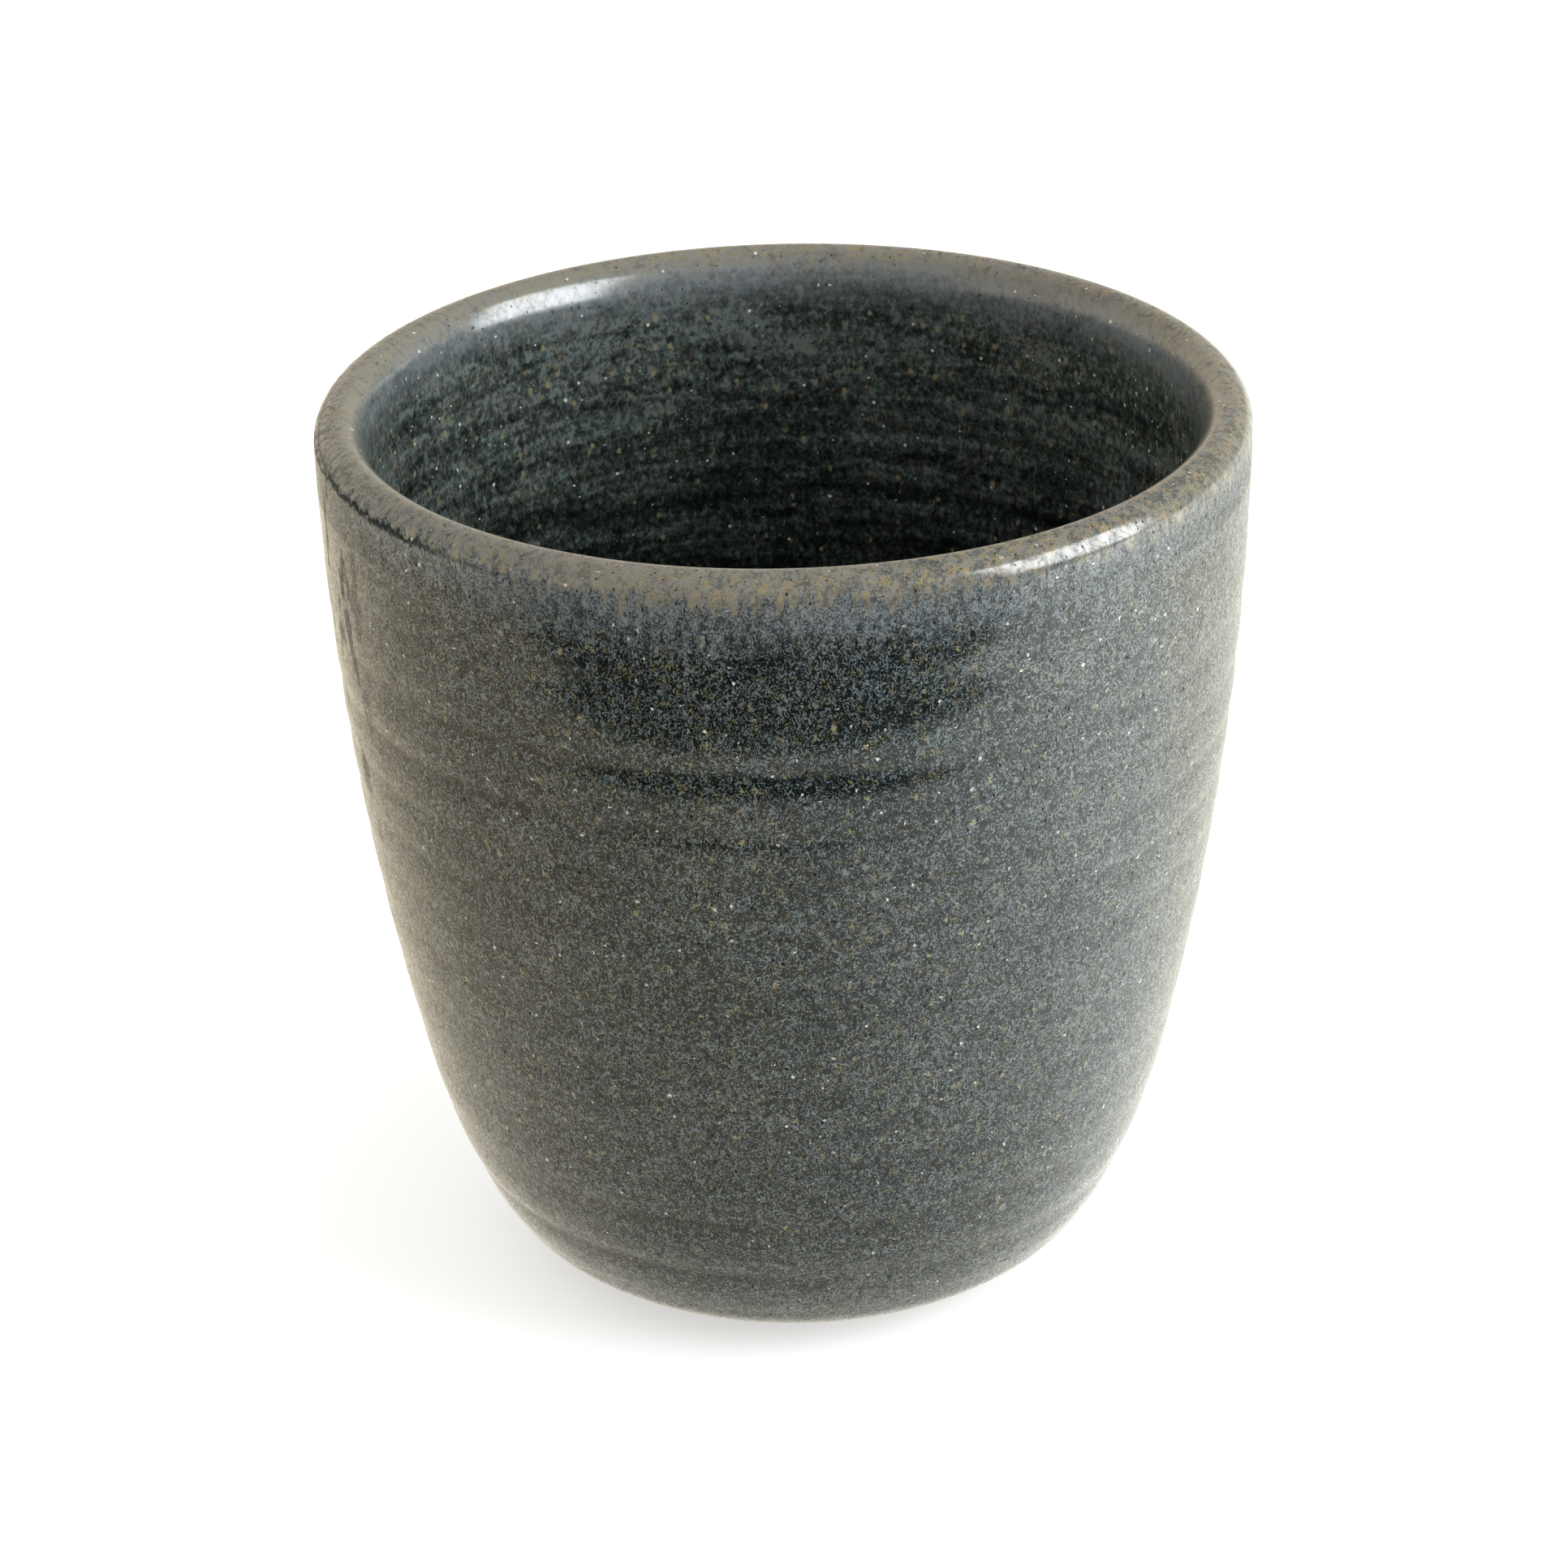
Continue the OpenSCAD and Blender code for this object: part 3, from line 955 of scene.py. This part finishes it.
def clay_material(colours):
    """Bare stoneware: sandy clay with dark grog, flashed in clouds and toasted beside the glaze's edge."""
    material = bpy.data.materials.new("bare_stoneware")
    nodes = Nodes(material)
    place = nodes.place()
    cloud = nodes.noise(place, CLAY_CLOUD)
    sand = nodes.noise(place, SAND)
    toast = nodes.rise(nodes.channel(place, "Z") + cloud.sway(TOAST_SWAY), TOAST_STEP)
    grog = nodes.fall(nodes.grains(place, GROG) + sand * GROG_SAND, GROG_EDGE)
    skin = nodes.mix(nodes.rise(cloud, FLASH_STEP) * FLASH_STRENGTH, colours.clay, colours.clay_toast)
    skin = nodes.mix(toast * TOAST_STRENGTH, skin, colours.clay_toast)
    skin = nodes.mix(nodes.rise(sand, SAND_STEP) * SAND_STRENGTH, skin, colours.grog)
    skin = nodes.mix(grog * GROG_STRENGTH, skin, colours.grog)
    nodes.surface({
        "Base Color": skin,
        "Roughness": CLAY_ROUGH + SAND_ROUGH * sand,
        "Normal": nodes.bump(sand * SAND_RELIEF - grog * GROG_RELIEF, CLAY_BUMP),
        "IOR": CLAY_IOR,
    })
    return material


class CUP_OT_clay_body(Operator):
    """Make the thrown and trimmed clay: wall, floor and foot ring"""

    bl_idname = "tea_cup.clay_body"
    bl_label = "Clay Body"

    def execute(self, context):
        """Goes up the inside from the floor's middle, over the lip, down the outside and round the foot."""
        scene = context.scene
        sizes = scene.cup_sizes
        section = Section(sizes)
        rows = OutlineRows(CLAY_SECTORS)
        inner_run = np.linspace(section.floor_in, section.field_in, HIDDEN_ROWS)[:, None]
        outer_run = np.linspace(sizes.lip_out, section.stop_run, HIDDEN_ROWS)[:, None]
        rows.add(section.inside_at(inner_run, sizes.glaze))
        rows.add(section.lip_at(np.linspace(math.pi, 0, CLAY_LIP_ROWS)[:, None], sizes.glaze))
        rows.add(section.outside_at(outer_run, sizes.glaze))
        rows.add(self.trimmed(self.foot(section), scene.cup_marks))
        mesh = rows.mesh("clay_body_piece", poles=True)
        add_piece(context, mesh, "clay_body", clay_material(scene.cup_colours))
        return {"FINISHED"}

    @staticmethod
    def foot(section):
        """Outline of the bare clay: round the heel, down the foot ring, across it and up into the recess.
        The ring's edges and the top of the recess are quarter rounds."""
        sizes = section.sizes
        heel_run = np.linspace(section.stop_run, section.foot_run, HEEL_ROWS)[1:]
        heel = np.stack(section.outside_at(heel_run, sizes.glaze), axis=1)
        quarter = np.linspace(0, QUARTER, ROUND_ROWS)
        cosine = np.cos(quarter)
        sine = np.sin(quarter)
        inner_r = sizes.foot_r - sizes.foot_w
        outer_c = np.array([sizes.foot_r - sizes.foot_round, sizes.foot_round])
        inner_c = np.array([inner_r + sizes.foot_round, sizes.foot_round])
        top_c = np.array([inner_r - sizes.recess_round, sizes.recess_h - sizes.recess_round])
        outer_edge = outer_c + sizes.foot_round * np.stack([cosine, -sine], axis=1)
        inner_edge = inner_c + sizes.foot_round * np.stack([-sine, -cosine], axis=1)
        top_edge = top_c + sizes.recess_round * np.stack([cosine, sine], axis=1)
        middle = np.array([[0, sizes.recess_h]])
        return np.concatenate([heel, outer_edge, inner_edge, top_edge, middle])

    @staticmethod
    def trimmed(outline, marks):
        """Outline stepped evenly along its length and sunk, square to itself, by the trimming lines: half a
        raised cosine for each step of the tool, dying away at both ends."""
        run = np.concatenate([[0], np.cumsum(np.hypot(*np.diff(outline, axis=0).T))])
        even = np.linspace(0, run[-1], TRIM_ROWS)
        radius = np.interp(even, run, outline[:, 0])
        height = np.interp(even, run, outline[:, 1])
        along_r = np.gradient(radius)
        along_z = np.gradient(height)
        long = np.hypot(along_r, along_z)
        line = (1 - np.cos(TURN * even / marks.trim_step)) / 2
        depth = marks.trim_depth * line * dying_away(even / run[-1])
        sunk_r = np.maximum(radius + depth * along_z / long, 0)
        sunk_z = height - depth * along_r / long
        return sunk_r[:, None], sunk_z[:, None]


class CUP_OT_outer_glaze(Operator):
    """Make the grey glaze on the outside, down to its rolled edge above the foot"""

    bl_idname = "tea_cup.outer_glaze"
    bl_label = "Outer Glaze"

    def execute(self, context):
        """Goes down the free face with its rings, round the edge in a quarter round and back up the clay."""
        scene = context.scene
        sizes = scene.cup_sizes
        marks = scene.cup_marks
        section = Section(sizes)
        rows = OutlineRows(GLAZE_SECTORS)
        waves = np.sin(EDGE_WAVES[0] * rows.turn + EDGE_SHIFT) + np.sin(EDGE_WAVES[1] * rows.turn)
        edge = section.stop_run + marks.edge_wave * waves / 2
        share = np.linspace(0, 1, OUTER_ROWS)[:, None]
        run = sizes.lip_out + (edge - sizes.lip_out) * share
        groove = throwing_rings(marks, share, rows.turn, marks.outer_rings)
        rows.add(section.outside_at(run, groove * marks.ring_depth), groove)
        roll = np.linspace(0, QUARTER, ROLL_ROWS)[1:, None]
        rows.add(section.outside_at(edge + sizes.glaze * np.sin(roll), sizes.glaze * (1 - np.cos(roll))))
        back = np.linspace(1, 0, BACK_ROWS)[1:, None]
        back_run = sizes.lip_out + (edge + sizes.glaze - sizes.lip_out) * back
        rows.add(section.outside_at(back_run, sizes.glaze))
        mesh = rows.mesh("outer_glaze_piece", poles=False)
        colours = scene.cup_colours
        pattern = outer_pattern(colours)
        material = glaze_material("grey_satin_glaze", colours, sizes, pattern, pattern, OUTER_GLOSS)
        add_piece(context, mesh, "outer_glaze", material)
        return {"FINISHED"}


class CUP_OT_lip_glaze(Operator):
    """Make the brown field of glaze over the round lip"""

    bl_idname = "tea_cup.lip_glaze"
    bl_label = "Lip Glaze"

    def execute(self, context):
        """Goes up the inside, over the lip and down the outside, and back the same way on the clay."""
        scene = context.scene
        sizes = scene.cup_sizes
        section = Section(sizes)
        rows = OutlineRows(GLAZE_SECTORS)
        inner_run = np.linspace(section.field_in, section.round_in, LIP_IN_ROWS)[:-1, None]
        outer_run = np.linspace(0, sizes.lip_out, LIP_OUT_ROWS)[1:, None]
        crown = np.linspace(math.pi, 0, LIP_ROWS)[:, None]
        rows.add(section.inside_at(inner_run, 0))
        rows.add(section.lip_at(crown, 0))
        rows.add(section.outside_at(outer_run, 0))
        rows.add(section.outside_at(outer_run[::-1], sizes.glaze))
        rows.add(section.lip_at(crown[::-1], sizes.glaze))
        rows.add(section.inside_at(inner_run[::-1], sizes.glaze))
        mesh = rows.mesh("lip_glaze_piece", poles=False)
        colours = scene.cup_colours
        patterns = (outer_pattern(colours), liner_pattern(colours))
        material = glaze_material("brown_lip_glaze", colours, sizes, *patterns, LIP_GLOSS)
        add_piece(context, mesh, "lip_glaze", material)
        return {"FINISHED"}


class CUP_OT_liner_glaze(Operator):
    """Make the dark glaze on the inside, from the lip to the middle of the floor"""

    bl_idname = "tea_cup.liner_glaze"
    bl_label = "Liner Glaze"

    def execute(self, context):
        """Goes from the middle of the floor up the free face with its rings, and back down on the clay."""
        scene = context.scene
        sizes = scene.cup_sizes
        marks = scene.cup_marks
        section = Section(sizes)
        rows = OutlineRows(GLAZE_SECTORS)
        share = np.linspace(1, 0, LINER_ROWS)[:, None]
        run = section.field_in + (section.floor_in - section.field_in) * share
        groove = throwing_rings(marks, share, rows.turn, marks.liner_rings)
        rows.add(section.inside_at(run, groove * marks.ring_depth), groove)
        back = np.linspace(section.field_in, section.floor_in, BACK_ROWS)[:, None]
        rows.add(section.inside_at(back, sizes.glaze))
        mesh = rows.mesh("liner_glaze_piece", poles=True)
        colours = scene.cup_colours
        pattern = liner_pattern(colours)
        material = glaze_material("dark_liner_glaze", colours, sizes, pattern, pattern, LINER_GLOSS)
        add_piece(context, mesh, "liner_glaze", material)
        return {"FINISHED"}


# Tone of the mirrored floor: where it turns from left to right, and how much less so behind the cup
TONE_ACROSS = (-0.11, 0.09)
TONE_ALONG = (-0.02, 0.05)
TONE_BEHIND = 0.6

# How narrowly the mirrored floor brightens about the way to the key light
KEY_POWER = 6.0

# Ways in the room, as parts of a vector, over which the walls turn from left to right, the front gives way
# to them and they give way to the ceiling
WALL_TURN = (-0.8, 0.8)
FRONT_TURN = (-0.85, -0.4)
CEILING_TURN = (0.2, 0.7)

# Camera's sensor, in millimetres, and the nearest and farthest that it sees
SENSOR = 36.0
NEAREST = 0.01
FARTHEST = 20.0


class CUP_OT_stage(Operator):
    """Set the floor, the light and the camera"""

    bl_idname = "tea_cup.stage"
    bl_label = "Stage"

    def execute(self, context):
        """Sets each part of the stage, and shows colours as they are."""
        look = context.scene.cup_stage
        self.lay_floor(context, look)
        self.light_room(context, look)
        self.hang_softbox(context, look)
        self.aim_camera(context, look)
        context.scene.view_settings.view_transform = "Standard"
        return {"FINISHED"}

    def lay_floor(self, context, look):
        """Level square floor, matt and pale, lifted towards white where the camera sees it. The gloss of the
        glaze mirrors it with its own brightness."""
        side = look.floor_side / 2
        corners = [(-side, -side, 0), (side, -side, 0), (side, side, 0), (-side, side, 0)]
        mesh = bpy.data.meshes.new("floor")
        mesh.from_pydata(corners, [], [(0, 1, 2, 3)])
        material = bpy.data.materials.new("pale_floor")
        nodes = Nodes(material)
        path = nodes.add("ShaderNodeLightPath", output="Is Camera Ray")
        seen = path.most(path.output("Is Transmission Ray"))
        matt = nodes.add("ShaderNodeBsdfDiffuse", None, {"Color": nodes.opaque(look.floor)})
        lift = nodes.add("ShaderNodeEmission", None, {"Strength": seen * look.floor_lift})
        both = nodes.add("ShaderNodeAddShader", None, {0: matt, 1: lift})
        mirrored = self.mirrored_floor(nodes, look)
        sides = {0: path.output("Is Glossy Ray"), 1: both, 2: mirrored}
        whole = nodes.add("ShaderNodeMixShader", None, sides)
        nodes.add("ShaderNodeOutputMaterial", None, {"Surface": whole})
        mesh.materials.append(material)
        floor = bpy.data.objects.new("floor", mesh)
        context.scene.collection.objects.link(floor)

    @staticmethod
    def mirrored_floor(nodes, look):
        """The floor as the gloss mirrors it: dark past a bent front edge and at the far left, brighter
        towards the key light, warm on the left and cool on the right. It brightens with the distance out, up
        to a limit, times a power of half of one plus the cosine of the turn away from the key light."""
        place = nodes.add("ShaderNodeTexCoord", output="Object")
        across = nodes.channel(place, "X")
        along = nodes.channel(place, "Y")
        back = along + across * look.mirror_tilt - abs(across) * look.mirror_bend
        lit = nodes.rise(back, (look.mirror_front, look.mirror_back))
        lit = lit * nodes.rise(across - look.mirror_left, (-look.mirror_soft, look.mirror_soft))
        bright = look.mirror_dark + lit * (look.mirror_light - look.mirror_dark)
        reach = nodes.reach(place)
        key_way = (math.sin(look.key_azimuth), -math.cos(look.key_azimuth), 0)
        out = nodes.part_along(place, key_way)
        toward = ((reach + out) / (2.0 * reach + MM)) ** KEY_POWER
        bright = bright * (1.0 + look.mirror_key * reach.least(look.mirror_reach) * toward)
        behind = TONE_BEHIND + (1.0 - TONE_BEHIND) * nodes.fall(along, TONE_ALONG)
        tone = nodes.mix(nodes.rise(across, TONE_ACROSS) * behind, look.floor_left, look.floor_right)
        return nodes.add("ShaderNodeEmission", None, {"Color": tone, "Strength": bright})

    @staticmethod
    def light_room(context, look):
        """Soft light from pale walls and a ceiling, duller on the camera's side, and white for the camera.
        The gloss of the glaze mirrors the room with its own brightness."""
        world = bpy.data.worlds.new("studio")
        context.scene.world = world
        nodes = Nodes(world)
        way = nodes.add("ShaderNodeTexCoord", output="Generated")
        seen = nodes.add("ShaderNodeLightPath", output="Is Camera Ray")
        glossy = seen.output("Is Glossy Ray")
        turned = nodes.rise(nodes.channel(way, "X"), WALL_TURN)
        walls = nodes.mix(turned, look.horizon_left, look.horizon_right)
        front = nodes.mix(glossy, look.front, look.front_mirror)
        room = nodes.mix(nodes.fall(nodes.channel(way, "Y"), FRONT_TURN), walls, front)
        room = nodes.mix(nodes.rise(nodes.channel(way, "Z"), CEILING_TURN), room, look.zenith)
        shade = nodes.mix(seen, room, WHITE)
        strength = look.room + glossy * (look.room_mirror - look.room)
        strength = strength.toward(1.0, seen)
        light = nodes.add("ShaderNodeBackground", None, {"Color": shade, "Strength": strength})
        nodes.add("ShaderNodeOutputWorld", None, {"Surface": light})

    @staticmethod
    def way_to(azimuth, elevation):
        """Way from the cup to something seen at an azimuth right of the camera and an elevation."""
        level = math.cos(elevation)
        return Vector((math.sin(azimuth) * level, -math.cos(azimuth) * level, math.sin(elevation)))

    def hang_softbox(self, context, look):
        """Softbox that faces the cup. Its power is its face's brightness times pi times its area."""
        light = bpy.data.lights.new("key_softbox", "AREA")
        light.shape = "RECTANGLE"
        light.size = look.key_wide
        light.size_y = look.key_tall
        light.energy = look.key_radiance * math.pi * look.key_wide * look.key_tall
        light.color = look.key_colour
        way = self.way_to(look.key_azimuth, look.key_elevation)
        softbox = bpy.data.objects.new("key_softbox", light)
        softbox.location = Vector((0, 0, look.aim_z)) + way * look.key_distance
        softbox.rotation_euler = way.to_track_quat("Z", "Y").to_euler()
        softbox.visible_camera = False
        context.scene.collection.objects.link(softbox)

    def aim_camera(self, context, look):
        """Camera in front of the cup, looking down at it and tilted about its own axis."""
        camera = bpy.data.cameras.new("camera")
        camera.lens = look.lens
        camera.sensor_width = SENSOR
        camera.clip_start = NEAREST
        camera.clip_end = FARTHEST
        back = self.way_to(0, look.elevation)
        place = Vector((look.aim_x, 0, look.aim_z)) + back * look.distance
        seen = Matrix.LocRotScale(place, back.to_track_quat("Z", "Y"), None)
        holder = bpy.data.objects.new("camera", camera)
        holder.matrix_world = seen @ Matrix.Rotation(look.roll, 4, "Z")
        context.scene.collection.objects.link(holder)
        context.scene.camera = holder


OPERATORS = (CUP_OT_clay_body, CUP_OT_outer_glaze, CUP_OT_lip_glaze, CUP_OT_liner_glaze, CUP_OT_stage)


class CUP_PT_panel(Panel):
    """Lists what makes the cup, in order"""

    bl_idname = "CUP_PT_panel"
    bl_label = "Tea Cup"
    bl_space_type = "VIEW_3D"
    bl_region_type = "UI"
    bl_category = "Tea Cup"

    def draw(self, context):
        """Draws a button for each operator."""
        for operator in OPERATORS:
            self.layout.operator(operator.bl_idname)


GROUPS = {"cup_sizes": CupSizes, "cup_marks": CupMarks, "cup_colours": CupColours, "cup_stage": StageLook}
CLASSES = (*GROUPS.values(), *OPERATORS, CUP_PT_panel)


def register():
    """Registers the classes and gives each scene the groups of values."""
    for cls in CLASSES:
        bpy.utils.register_class(cls)
    for name, group in GROUPS.items():
        setattr(bpy.types.Scene, name, PointerProperty(type=group))


def unregister():
    """Takes the groups and the classes away again."""
    for name in GROUPS:
        delattr(bpy.types.Scene, name)
    for cls in reversed(CLASSES):
        bpy.utils.unregister_class(cls)


def main():
    """Builds the cup and its stage."""
    register()
    bpy.ops.tea_cup.clay_body()
    bpy.ops.tea_cup.outer_glaze()
    bpy.ops.tea_cup.lip_glaze()
    bpy.ops.tea_cup.liner_glaze()
    bpy.ops.tea_cup.stage()


if __name__ == "__main__":
    main()
